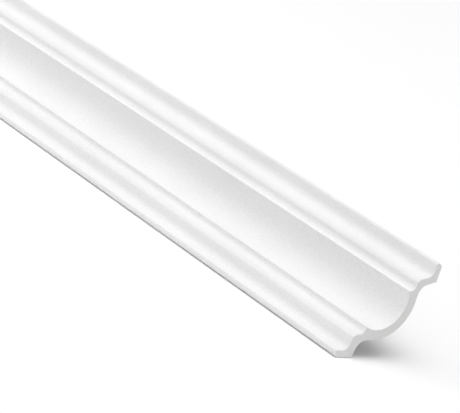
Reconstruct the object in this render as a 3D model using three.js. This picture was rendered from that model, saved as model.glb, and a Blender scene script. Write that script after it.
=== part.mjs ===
// Crown moulding: one length of white moulded cove cornice, cut square at both ends.
//
// The section has two equal legs, one for the wall and one for the ceiling, and its front is the
// same on both. Each leg runs from its outer edge inwards as a flat lip, an ogee (a cavetto that
// climbs into an ovolo), a narrow crest, a small cavetto and an arris. One large cove joins the
// two arrises. The back follows the front at the thickness of the shell, so a hollow lies behind
// each ogee, and only the two contact faces touch the building.
//
// Frame, millimetres: +X along the length, +Y out of the wall's contact face, -Z out of the
// ceiling's contact face. The origin is the middle of the wall's contact face.
// Section coordinates: p runs along one leg from the corner of the room, q along the other.
import * as THREE from 'three';

// The piece
const LENGTH = 1000;
const LEG = 100;
const SHELL = 10.5;

// The lip along each outer edge, and the rounding of its two corners
const LIP_WIDTH = 7.2;
const LIP_THICKNESS = 7.2;
const LIP_ROUND = 1.4;
const CONTACT_ROUND = 4.2;

// The ogee: how far it climbs from the lip, how steep its flank is, and its two curves
const OGEE_RISE = 17;
const FLANK_PITCH = THREE.MathUtils.degToRad(78);
const CAVETTO_RADIUS = 8.2;
const OVOLO_RADIUS = 6.2;

// From the ogee to the cove: a narrow crest, a small cavetto and a riser that ends in the arris
const CREST_WIDTH = 1;
const STEP_RADIUS = 6;
const STEP_RISER = 1.6;

// The cove turns through this angle from one arris to the other
const COVE_SWEEP = THREE.MathUtils.degToRad(140);

// The hollow behind each ogee: how far its edge on the contact face lies inside the flank's foot,
// how far its wall leans over it, and the curve from that wall to its roof. The one behind the
// ceiling's leg is cut back a little further than the one behind the wall's leg.
const HOLLOW_RADIUS = 12;
const HOLLOW_EDGE_ROUND = 1;
const WALL_LEG = { setback: 3.5, lean: THREE.MathUtils.degToRad(18) };
const CEILING_LEG = { setback: 7.8, lean: THREE.MathUtils.degToRad(6) };

// How far a straight facet may stand off its arc
const FACET_TOLERANCE = 0.02;

const RIGHT_ANGLE = Math.PI / 2;

// Points of an arc, both ends included, from one angle to another
function arc(centre, radius, from, to) {
  const facet = 2 * Math.acos(1 - FACET_TOLERANCE / radius);
  const count = Math.max(2, Math.ceil(Math.abs(to - from) / facet));
  const points = [];
  for (let i = 0; i <= count; i += 1) {
    const angle = from + ((to - from) * i) / count;
    points.push(new THREE.Vector2(radius, 0).rotateAround(new THREE.Vector2(), angle).add(centre));
  }
  return points;
}

// The same points on the other leg, in the order that carries the outline on
function mirrored(points) {
  return points.map((point) => new THREE.Vector2(point.y, point.x)).reverse();
}

// Front of one leg, from the outer edge's lip up to the arris
const curveDrop = (CAVETTO_RADIUS + OVOLO_RADIUS) * (1 - Math.cos(FLANK_PITCH));
const curveFit = Math.min(1, OGEE_RISE / curveDrop);
const cavettoRadius = CAVETTO_RADIUS * curveFit;
const ovoloRadius = OVOLO_RADIUS * curveFit;
const flankLength = (OGEE_RISE - curveDrop * curveFit) / Math.sin(FLANK_PITCH);
const cornerFit = Math.min(1, LIP_THICKNESS / (LIP_ROUND + CONTACT_ROUND));
const lipRound = LIP_ROUND * cornerFit;
const contactRound = CONTACT_ROUND * cornerFit;

const cavettoCentre = new THREE.Vector2(LEG - LIP_WIDTH, LIP_THICKNESS + cavettoRadius);
const cavetto = arc(cavettoCentre, cavettoRadius, -RIGHT_ANGLE, -RIGHT_ANGLE - FLANK_PITCH);
const flankFoot = cavetto[cavetto.length - 1];
const flankTop = new THREE.Vector2(-flankLength, 0)
  .rotateAround(new THREE.Vector2(), -FLANK_PITCH)
  .add(flankFoot);
const ovoloCentre = new THREE.Vector2(-ovoloRadius, 0)
  .rotateAround(new THREE.Vector2(), RIGHT_ANGLE - FLANK_PITCH)
  .add(flankTop);
const ovolo = arc(ovoloCentre, ovoloRadius, RIGHT_ANGLE - FLANK_PITCH, RIGHT_ANGLE);
const stepCentre = new THREE.Vector2(
  ovoloCentre.x - CREST_WIDTH,
  ovoloCentre.y + ovoloRadius + STEP_RADIUS,
);
const step = arc(stepCentre, STEP_RADIUS, -RIGHT_ANGLE, -2 * RIGHT_ANGLE);
const arris = new THREE.Vector2(stepCentre.x - STEP_RADIUS, stepCentre.y + STEP_RISER);

// The cove runs from this leg's arris to the other's, about a centre on the section's diagonal
const coveRadius = (arris.x - arris.y) / Math.SQRT2 / Math.sin(COVE_SWEEP / 2);
const coveMiddle = (arris.x + arris.y + Math.SQRT2 * coveRadius * Math.cos(COVE_SWEEP / 2)) / 2;
const coveCentre = new THREE.Vector2(coveMiddle, coveMiddle);
const towardsCorner = -1.5 * RIGHT_ANGLE;
const cove = arc(
  coveCentre,
  coveRadius,
  towardsCorner + COVE_SWEEP / 2,
  towardsCorner - COVE_SWEEP / 2,
);

// The back is concentric with the cove as far as its lowest point
const coveBack = arc(coveCentre, coveRadius + SHELL, -2 * RIGHT_ANGLE, -RIGHT_ANGLE);

// The hollow's roof runs on level from there, and a curve takes it down to the leaning wall,
// which ends in a small round on the contact face
function hollow({ setback, lean }) {
  const depth = coveMiddle - coveRadius - SHELL;
  const radius = Math.min(HOLLOW_RADIUS, depth - HOLLOW_EDGE_ROUND);
  const edge = flankFoot.x - setback;
  const wallTop = depth - radius + radius * Math.sin(lean);
  const centre = new THREE.Vector2(
    edge - wallTop * Math.tan(lean) - radius * Math.cos(lean),
    depth - radius,
  );
  return arc(centre, radius, RIGHT_ANGLE, lean);
}

// One leg's contact face between its two rounds, from the hollow to the outer edge
function contactFace({ setback, lean }) {
  const inset = HOLLOW_EDGE_ROUND * Math.tan((RIGHT_ANGLE - lean) / 2);
  return { inner: flankFoot.x - setback + inset, outer: LEG - contactRound };
}

// One leg from the hollow's edge round the outer edge and up the front to the arris
function front(leg) {
  const face = contactFace(leg);
  const hollowEdge = new THREE.Vector2(face.inner, HOLLOW_EDGE_ROUND);
  const contactCorner = new THREE.Vector2(face.outer, contactRound);
  const lipCorner = new THREE.Vector2(LEG - lipRound, LIP_THICKNESS - lipRound);
  return [
    ...arc(hollowEdge, HOLLOW_EDGE_ROUND, leg.lean - 2 * RIGHT_ANGLE, -RIGHT_ANGLE),
    ...arc(contactCorner, contactRound, -RIGHT_ANGLE, 0),
    ...arc(lipCorner, lipRound, 0, RIGHT_ANGLE),
    ...cavetto,
    ...ovolo,
    ...step,
  ];
}

const outline = [
  ...front(CEILING_LEG),
  ...cove,
  ...mirrored(front(WALL_LEG)),
  ...mirrored(hollow(WALL_LEG)),
  ...coveBack,
  ...hollow(CEILING_LEG),
];

// The length, drawn from its right-hand cut end to its left-hand one as seen from the room
const wallFace = contactFace(WALL_LEG);
const geometry = new THREE.ExtrudeGeometry(new THREE.Shape(outline), {
  depth: LENGTH,
  bevelEnabled: false,
});
const placed = new THREE.Matrix4().makeBasis(
  new THREE.Vector3(0, -1, 0),
  new THREE.Vector3(0, 0, 1),
  new THREE.Vector3(-1, 0, 0),
);
placed.setPosition(LENGTH / 2, 0, -(wallFace.inner + wallFace.outer) / 2);
geometry.applyMatrix4(placed);

const primer = new THREE.MeshStandardMaterial({ color: 0xf1f1ef, roughness: 0.6, metalness: 0 });
const moulding = new THREE.Mesh(geometry, primer);
moulding.name = 'crown_moulding';

const group = new THREE.Group();
group.add(moulding);

export default group;
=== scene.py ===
import math

import bmesh
import bpy
from mathutils import Matrix, Vector


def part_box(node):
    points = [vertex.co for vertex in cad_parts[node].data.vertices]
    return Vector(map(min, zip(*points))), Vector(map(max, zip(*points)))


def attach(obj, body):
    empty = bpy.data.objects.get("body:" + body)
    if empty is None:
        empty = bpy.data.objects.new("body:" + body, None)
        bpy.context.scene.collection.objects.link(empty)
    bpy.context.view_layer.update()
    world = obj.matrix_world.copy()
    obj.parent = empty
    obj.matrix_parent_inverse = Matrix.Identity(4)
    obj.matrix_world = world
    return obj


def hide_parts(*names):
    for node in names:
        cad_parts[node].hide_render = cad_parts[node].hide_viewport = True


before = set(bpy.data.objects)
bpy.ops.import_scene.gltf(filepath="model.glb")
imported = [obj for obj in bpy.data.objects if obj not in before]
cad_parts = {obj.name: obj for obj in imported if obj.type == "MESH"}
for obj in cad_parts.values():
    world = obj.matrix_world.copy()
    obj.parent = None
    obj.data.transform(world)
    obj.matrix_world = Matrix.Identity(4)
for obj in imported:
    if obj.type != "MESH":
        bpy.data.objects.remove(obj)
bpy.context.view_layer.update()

# The view: a long lens near the cut end, a little above the moulding and leaning to the right, so
# that the length runs up and out of the picture. The image is 460 by 413 pixels.
IMAGE_WIDTH, IMAGE_HEIGHT = 460, 413
SENSOR_WIDTH = 36
LENS = 175.75
VIEW_AZIMUTH = math.radians(46.74)
VIEW_ELEVATION = math.radians(15.10)
VIEW_ROLL = math.radians(18.42)
CORNER_PIXEL = (408.6, 359.0)
LEG_PIXELS = 104.25

low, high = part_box("crown_moulding")
LENGTH = high.x - low.x
LEG = high.z - low.z
near_corner = Vector((high.x, high.y, low.z))

level_right = Vector((math.cos(VIEW_AZIMUTH), math.sin(VIEW_AZIMUTH), 0))
back = Vector((
    math.sin(VIEW_AZIMUTH) * math.cos(VIEW_ELEVATION),
    -math.cos(VIEW_AZIMUTH) * math.cos(VIEW_ELEVATION),
    math.sin(VIEW_ELEVATION),
))
level_up = back.cross(level_right)
right = level_right * math.cos(VIEW_ROLL) + level_up * math.sin(VIEW_ROLL)
up = back.cross(right)
focal_pixels = LENS / SENSOR_WIDTH * IMAGE_WIDTH
pixel = LEG / LEG_PIXELS
corner_seen = (
    right * (CORNER_PIXEL[0] - IMAGE_WIDTH / 2)
    - up * (CORNER_PIXEL[1] - IMAGE_HEIGHT / 2)
    - back * focal_pixels
) * pixel

camera = bpy.data.objects.new("camera", bpy.data.cameras.new("camera"))
camera.data.lens = LENS
camera.data.sensor_width = SENSOR_WIDTH
camera.matrix_world = Matrix.Translation(near_corner - corner_seen) @ Matrix(
    (right, up, back)
).transposed().to_4x4()
bpy.context.collection.objects.link(camera)
bpy.context.scene.camera = camera


# The moulding: one length of rigid foam moulded in one piece, with a flat lip, an ogee, a small
# cavetto and an arris on each leg and one large cove between them. It is primed white in the
# factory and sawn square at both ends.
SHELL = 0.0105
LIP_WIDTH = 0.0072
LIP_THICKNESS = 0.0072
LIP_ROUND = 0.0014
CONTACT_ROUND = 0.0042
OGEE_RISE = 0.017
FLANK_PITCH = math.radians(78)
CAVETTO_RADIUS = 0.0082
OVOLO_RADIUS = 0.0062
CREST_WIDTH = 0.001
STEP_RADIUS = 0.006
STEP_RISER = 0.0016
COVE_SWEEP = math.radians(140)
HOLLOW_RADIUS = 0.012
HOLLOW_EDGE_ROUND = 0.001
WALL_SETBACK, WALL_LEAN = 0.0035, math.radians(18)
CEILING_SETBACK, CEILING_LEAN = 0.0078, math.radians(6)
ARC_STEP = math.radians(4)
SEAM = 0.00001
ARRIS_ANGLE, ARRIS_SOFTENING = math.radians(30), 0.0007
RIM_ANGLE, RIM_SOFTENING = math.radians(80), 0.0002
DENSE_SKIN = 0.0007
END_MARGIN = 0.003


def turn(bm, tip, heading, radius, angle):
    """Carries the outline on round an arc from its tip; a positive angle turns to the left."""
    side = math.copysign(math.pi / 2, angle)
    centre = tip.co + Vector((math.cos(heading + side), math.sin(heading + side), 0)) * radius
    spun = bmesh.ops.spin(
        bm, geom=[tip], cent=centre, axis=(0, 0, 1), angle=angle,
        steps=max(3, math.ceil(abs(angle) / ARC_STEP)),
    )
    (end,) = [v for v in spun["geom_last"] if isinstance(v, bmesh.types.BMVert)]
    return end, heading + angle


def run(bm, tip, heading, distance):
    """Carries the outline straight on from its tip."""
    (end,) = bmesh.ops.extrude_vert_indiv(bm, verts=[tip])["verts"]
    end.co += Vector((math.cos(heading), math.sin(heading), 0)) * distance
    return end


def draw_leg(bm, setback, lean):
    """One leg's half of the section, from the middle of the cove's front to that of its back."""
    drop = (CAVETTO_RADIUS + OVOLO_RADIUS) * (1 - math.cos(FLANK_PITCH))
    flank = (OGEE_RISE - drop) / math.sin(FLANK_PITCH)
    sweep_out = (CAVETTO_RADIUS + OVOLO_RADIUS) * math.sin(FLANK_PITCH)
    arris = Vector((
        LEG - LIP_WIDTH - sweep_out - flank * math.cos(FLANK_PITCH) - CREST_WIDTH - STEP_RADIUS,
        LIP_THICKNESS + OGEE_RISE + STEP_RADIUS + STEP_RISER,
        0,
    ))
    cove_radius = (arris.x - arris.y) / math.sqrt(2) / math.sin(COVE_SWEEP / 2)
    centre = (arris.x + arris.y + math.sqrt(2) * cove_radius * math.cos(COVE_SWEEP / 2)) / 2
    middle = centre - cove_radius / math.sqrt(2)

    tip = bm.verts.new((middle, middle, 0))
    tip, heading = turn(bm, tip, -math.pi / 4, cove_radius, COVE_SWEEP / 2)
    tip = run(bm, tip, -math.pi / 2, STEP_RISER)
    tip, heading = turn(bm, tip, -math.pi / 2, STEP_RADIUS, math.pi / 2)
    tip = run(bm, tip, heading, CREST_WIDTH)
    tip, heading = turn(bm, tip, heading, OVOLO_RADIUS, -FLANK_PITCH)
    tip = run(bm, tip, heading, flank)
    tip, heading = turn(bm, tip, heading, CAVETTO_RADIUS, FLANK_PITCH)
    tip = run(bm, tip, heading, LIP_WIDTH - LIP_ROUND)
    tip, heading = turn(bm, tip, heading, LIP_ROUND, -math.pi / 2)
    tip = run(bm, tip, heading, LIP_THICKNESS - LIP_ROUND - CONTACT_ROUND)
    tip, heading = turn(bm, tip, heading, CONTACT_ROUND, -math.pi / 2)

    flank_foot = LEG - LIP_WIDTH - CAVETTO_RADIUS * math.sin(FLANK_PITCH)
    face_inner = flank_foot - setback + HOLLOW_EDGE_ROUND * math.tan((math.pi / 2 - lean) / 2)
    tip = run(bm, tip, heading, LEG - CONTACT_ROUND - face_inner)
    tip, heading = turn(bm, tip, heading, HOLLOW_EDGE_ROUND, lean - math.pi / 2)
    depth = centre - cove_radius - SHELL
    wall_top = depth - HOLLOW_RADIUS * (1 - math.sin(lean))
    tip = run(bm, tip, heading, (wall_top - tip.co.y) / math.cos(lean))
    tip, heading = turn(bm, tip, heading, HOLLOW_RADIUS, math.pi / 2 - lean)
    tip = run(bm, tip, heading, tip.co.x - centre)
    turn(bm, tip, heading, cove_radius + SHELL, -math.pi / 4)


bm = bmesh.new()
draw_leg(bm, WALL_SETBACK, WALL_LEAN)
SWAP_LEGS = Matrix(((0, 1, 0, 0), (1, 0, 0, 0), (0, 0, 1, 0), (0, 0, 0, 1)))
bmesh.ops.transform(bm, matrix=SWAP_LEGS, verts=bm.verts[:])
draw_leg(bm, CEILING_SETBACK, CEILING_LEAN)
bmesh.ops.remove_doubles(bm, verts=bm.verts[:], dist=SEAM)
(section,) = bmesh.ops.contextual_create(bm, geom=bm.edges[:])["faces"]

TO_FRAME = Matrix((
    (0, 0, 1, low.x),
    (-1, 0, 0, high.y),
    (0, 1, 0, low.z),
    (0, 0, 0, 1),
))
bmesh.ops.transform(bm, matrix=TO_FRAME, verts=bm.verts[:])
drawn = bmesh.ops.extrude_face_region(bm, geom=[section], use_keep_orig=True)
far_verts = [v for v in drawn["geom"] if isinstance(v, bmesh.types.BMVert)]
bmesh.ops.translate(bm, verts=far_verts, vec=(LENGTH, 0, 0))
bmesh.ops.recalc_face_normals(bm, faces=bm.faces[:])

PRIMED, MOULDED, SAWN_CORE, SAWN_SKIN = range(4)
for face in bm.faces:
    if abs(face.normal.x) > 0.9:
        face.material_index = SAWN_CORE
    else:
        face.material_index = PRIMED if face.normal.z > face.normal.y else MOULDED
cores = [f for f in bm.faces if f.material_index == SAWN_CORE]
rings = bmesh.ops.inset_individual(bm, faces=cores, thickness=DENSE_SKIN, use_even_offset=True)
for face in rings["faces"]:
    face.material_index = SAWN_SKIN

along = [e for e in bm.edges if abs(e.verts[0].co.x - e.verts[1].co.x) > LENGTH / 2]
arrises = [e for e in along if e.calc_face_angle() > ARRIS_ANGLE]
bmesh.ops.bevel(
    bm, geom=arrises, offset=ARRIS_SOFTENING, affect="EDGES", segments=5, profile=0.5, material=-1,
)
rims = [e for e in bm.edges if e.calc_face_angle() > RIM_ANGLE]
bmesh.ops.bevel(
    bm, geom=rims, offset=RIM_SOFTENING, affect="EDGES", segments=2, profile=0.5, material=-1,
)
for x in (low.x + END_MARGIN, high.x - END_MARGIN):
    whole = bm.verts[:] + bm.edges[:] + bm.faces[:]
    bmesh.ops.bisect_plane(bm, geom=whole, plane_co=(x, 0, 0), plane_no=(1, 0, 0))
for face in bm.faces:
    face.smooth = abs(face.normal.x) < 0.99

mesh = bpy.data.meshes.new("moulding")
bm.to_mesh(mesh)
bm.free()
moulding = bpy.data.objects.new("moulding", mesh)
bpy.context.collection.objects.link(moulding)


class Shade:
    """A socket of a material that stands in sums as a plain number does."""

    def __init__(self, tree, socket):
        self.tree = tree
        self.socket = socket

    def node(self, kind, settings=(), inputs=(), output=0):
        """Adds a node: its settings come first, then the values or links of its sockets."""
        item = self.tree.nodes.new(kind)
        for name, setting in dict(settings).items():
            setattr(item, name, setting)
        for name, value in dict(inputs).items():
            if isinstance(value, Shade):
                self.tree.links.new(value.socket, item.inputs[name])
            else:
                item.inputs[name].default_value = value
        return Shade(self.tree, item.outputs[output])

    def math(self, operation, first, second):
        return self.node("ShaderNodeMath", {"operation": operation}, {0: first, 1: second})

    def __add__(self, other):
        return self.math("ADD", self, other)

    def __radd__(self, other):
        return self.math("ADD", other, self)

    def __sub__(self, other):
        return self.math("SUBTRACT", self, other)

    def __rsub__(self, other):
        return self.math("SUBTRACT", other, self)

    def __mul__(self, other):
        return self.math("MULTIPLY", self, other)

    def __rmul__(self, other):
        return self.math("MULTIPLY", other, self)

    def noise(self, size, **inputs):
        """Soft noise about 0.5 on this place, with marks of about the given size in metres."""
        return self.node("ShaderNodeTexNoise", inputs={"Vector": self, "Scale": 1 / size, **inputs})

    def cells(self, size):
        """How far this place lies from the middle of its cell, in cells of about the given size."""
        return self.node("ShaderNodeTexVoronoi", inputs={"Vector": self, "Scale": 1 / size})

    def step(self, start, end):
        """A soft step from 0 at the start to 1 at the end; the start may be the higher one."""
        settings = {"interpolation_type": "SMOOTHSTEP"}
        inputs = {"Value": self, "From Min": start, "From Max": end}
        return self.node("ShaderNodeMapRange", settings, inputs)


def new_material(name):
    """A material, and the place of each point on the piece."""
    material = bpy.data.materials.new(name)
    material.use_nodes = True
    tree = material.node_tree
    return material, Shade(tree, tree.nodes.new("ShaderNodeTexCoord").outputs["Object"])


def finish(material, low_colour, high_colour, tone, roughness, relief, depth):
    """Gives a material its two colours and what mixes them, its roughness and its relief."""
    colours = {0: tone, 6: low_colour, 7: high_colour}
    colour = tone.node("ShaderNodeMix", {"data_type": "RGBA"}, colours, output=2)
    normal = tone.node("ShaderNodeBump", inputs={"Height": relief, "Distance": depth})
    surface = material.node_tree.nodes["Principled BSDF"]
    for name, value in {"Base Color": colour, "Roughness": roughness, "Normal": normal}.items():
        material.node_tree.links.new(value.socket, surface.inputs[name])
    mesh.materials.append(material)


# The primer is satin-matt, with a light orange peel, a fine grain and clouds a hand wide. The saw
# breaks the edge of the coat a little at both ends.
PRIMER_LOW = (0.73, 0.73, 0.73, 1)
PRIMER_HIGH = (0.80, 0.80, 0.80, 1)
CLOUD_SIZE = 0.09
PEEL_SIZE = 0.0024
GRAIN_SIZE = 0.0017
CHIP_SIZE = 0.002
BROKEN_EDGE = 0.0014
PRIMER_RELIEF = 0.00015

primer, place = new_material("primer")
cloud = place.noise(CLOUD_SIZE, Detail=3)
peel = place.noise(PEEL_SIZE, Detail=1)
grain = place.noise(GRAIN_SIZE, Detail=2, Roughness=0.6)
along_length = place.node("ShaderNodeSeparateXYZ", inputs={"Vector": place})
from_middle = along_length.math("ABSOLUTE", along_length, 0)
chips = place.noise(CHIP_SIZE).step(0.5, 0.6)
broken = from_middle.step(LENGTH / 2 - BROKEN_EDGE, LENGTH / 2) * chips
finish(
    primer, PRIMER_LOW, PRIMER_HIGH,
    tone=0.5 + (cloud - 0.5) * 0.8 + (grain - 0.5) * 3 - broken * 0.8,
    roughness=0.44 + cloud * 0.1 + grain * 0.06,
    relief=peel * 0.5 + grain * 0.5 - broken * 0.4,
    depth=PRIMER_RELIEF,
)

# Behind, the mould's own skin is duller, with the swirls in which the foam filled the mould and
# patches of small burst bubbles. The bubbles are painted darker: painted shade in their pits.
MOULDED_LOW = (0.67, 0.67, 0.665, 1)
MOULDED_HIGH = (0.80, 0.80, 0.795, 1)
SWIRL_SIZE = 0.035
DULL_GRAIN_SIZE = 0.0015
BUBBLE_SPACING = 0.006
BUBBLE_PATCH = 0.03
MOULDED_RELIEF = 0.0003

skin, place = new_material("moulded_skin")
swirl = place.noise(SWIRL_SIZE, Detail=4, Distortion=0.8)
grain = place.noise(DULL_GRAIN_SIZE, Detail=2)
burst = place.cells(BUBBLE_SPACING).step(0.11, 0.05) * place.noise(BUBBLE_PATCH).step(0.56, 0.62)
finish(
    skin, MOULDED_LOW, MOULDED_HIGH,
    # the burst bubbles darken the tone here: painted shade in their pits
    tone=0.55 + (swirl - 0.5) * 0.8 + (grain - 0.5) * 0.6 - burst * 0.8,
    roughness=0.58 + swirl * 0.12,
    relief=swirl + grain * 0.1 - burst * 0.5,
    depth=MOULDED_RELIEF,
)

# The cut ends are sawn foam: fine cells, laid open under the slanting marks of the teeth, and
# painted darker as painted shade in their pits. The foam is denser and a little paler along the
# outside, with fewer open cells.
CORE_LOW, CORE_HIGH = (0.66, 0.66, 0.655, 1), (0.82, 0.82, 0.815, 1)
DENSE_LOW, DENSE_HIGH = (0.70, 0.70, 0.695, 1), (0.81, 0.81, 0.805, 1)
SMALL_CELL = 0.0005
LARGE_CELL = 0.0013
SAW_SLANT = math.radians(35)
SAW_MARK = (1, 0.03, 0.0009)
SAWN_RELIEF = 0.00012


def saw(name, low_colour, high_colour, openness):
    """Sawn foam with as many open cells as its openness gives."""
    cut, place = new_material(name)
    pores = (place.cells(SMALL_CELL).step(0.42, 0.1) + place.cells(LARGE_CELL).step(0.3, 0.1)) * openness
    marks = {"Vector": place, "Rotation": (SAW_SLANT, 0, 0), "Scale": SAW_MARK}
    streaks = place.node("ShaderNodeMapping", {"vector_type": "TEXTURE"}, marks).noise(1, Detail=2)
    finish(
        cut, low_colour, high_colour,
        # the open cells darken the tone here: painted shade in their pits
        tone=0.6 + (streaks - 0.5) * 0.7 - pores,
        roughness=0.72 + pores * 0.2,
        relief=streaks * 0.5 - pores,
        depth=SAWN_RELIEF,
    )


saw("sawn_core", CORE_LOW, CORE_HIGH, openness=0.6)
saw("sawn_skin", DENSE_LOW, DENSE_HIGH, openness=0.25)

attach(moulding, "root")
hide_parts("crown_moulding")


# The table: a plain white top, level with the face that the moulding would put to the ceiling. It
# is so wide that its edge lies behind the backdrop.
TABLE_SIZE = 60
TABLE_GAP = 0.0002
TABLE_WHITE = (0.9, 0.9, 0.9, 1)
TABLE_ROUGHNESS = 0.9

bm = bmesh.new()
bmesh.ops.create_grid(bm, x_segments=1, y_segments=1, size=TABLE_SIZE / 2)
bmesh.ops.translate(bm, verts=bm.verts[:], vec=(0, 0, low.z - TABLE_GAP))
table_mesh = bpy.data.meshes.new("table")
bm.to_mesh(table_mesh)
bm.free()
table = bpy.data.objects.new("table", table_mesh)
bpy.context.collection.objects.link(table)
laminate = bpy.data.materials.new("laminate")
laminate.use_nodes = True
top = laminate.node_tree.nodes["Principled BSDF"]
top.inputs["Base Color"].default_value = TABLE_WHITE
top.inputs["Roughness"].default_value = TABLE_ROUGHNESS
table_mesh.materials.append(laminate)


# The backdrop: a white wall all round the table and far behind it. It has a glow of its own, which
# only the camera sees.
WALL_RADIUS = 28
WALL_HEIGHT = 40

bm = bmesh.new()
bmesh.ops.create_cone(
    bm, cap_ends=False, segments=64, radius1=WALL_RADIUS, radius2=WALL_RADIUS, depth=WALL_HEIGHT
)
wall_mesh = bpy.data.meshes.new("backdrop")
bm.to_mesh(wall_mesh)
bm.free()
backdrop = bpy.data.objects.new("backdrop", wall_mesh)
bpy.context.collection.objects.link(backdrop)
white_glow = bpy.data.materials.new("white_glow")
white_glow.use_nodes = True
wall_face = white_glow.node_tree.nodes["Principled BSDF"]
wall_face.inputs["Base Color"].default_value = (0, 0, 0, 1)
wall_face.inputs["Emission Color"].default_value = (1, 1, 1, 1)
wall_face.inputs["Emission Strength"].default_value = 1
wall_mesh.materials.append(white_glow)
backdrop.visible_diffuse = False
backdrop.visible_glossy = False
backdrop.visible_shadow = False


# The light: a white room that glows softly from three directions, the glow overhead being the
# narrowest, and one soft box off the far end, so that the light fades a little towards the near end.
GLOWS = {
    "overhead": {"towards": (0, 0, 1), "sharpness": 12, "strength": 5.1},
    "front": {"towards": (0, -1, 0), "sharpness": 1, "strength": 0.64},
    "right": {"towards": (1, 0, 0), "sharpness": 1, "strength": 0.28},
}
FILL = 0.16

room = bpy.data.worlds.new("room")
room.use_nodes = True
outwards = Shade(room.node_tree, room.node_tree.nodes.new("ShaderNodeTexCoord").outputs["Generated"])
glow = FILL
for lobe in GLOWS.values():
    aim = Vector(lobe["towards"]).normalized()
    facing = outwards.node(
        "ShaderNodeVectorMath", {"operation": "DOT_PRODUCT"}, {0: outwards, 1: aim}, output="Value"
    )
    within = facing.math("MAXIMUM", facing, 0)
    glow = within.math("POWER", within, lobe["sharpness"]) * lobe["strength"] + glow
background = room.node_tree.nodes["Background"]
room.node_tree.links.new(glow.socket, background.inputs["Strength"])
background.inputs["Color"].default_value = (1, 1, 1, 1)
bpy.context.scene.world = room

SOFT_BOX_PLACE = Vector((-1.4, -1.0, 1.1))
SOFT_BOX_AIM = Vector((-0.1, -0.05, 0))
SOFT_BOX_SIZE = 1.2
SOFT_BOX_POWER = 6.6

soft_box_light = bpy.data.lights.new("soft_box", "AREA")
soft_box_light.shape = "DISK"
soft_box_light.size = SOFT_BOX_SIZE
soft_box_light.energy = SOFT_BOX_POWER
soft_box = bpy.data.objects.new("soft_box", soft_box_light)
soft_box.location = SOFT_BOX_PLACE
soft_box.rotation_mode = "QUATERNION"
soft_box.rotation_quaternion = (SOFT_BOX_PLACE - SOFT_BOX_AIM).to_track_quat("Z", "Y")
soft_box.visible_camera = False
bpy.context.collection.objects.link(soft_box)
bpy.context.scene.view_settings.view_transform = "Standard"
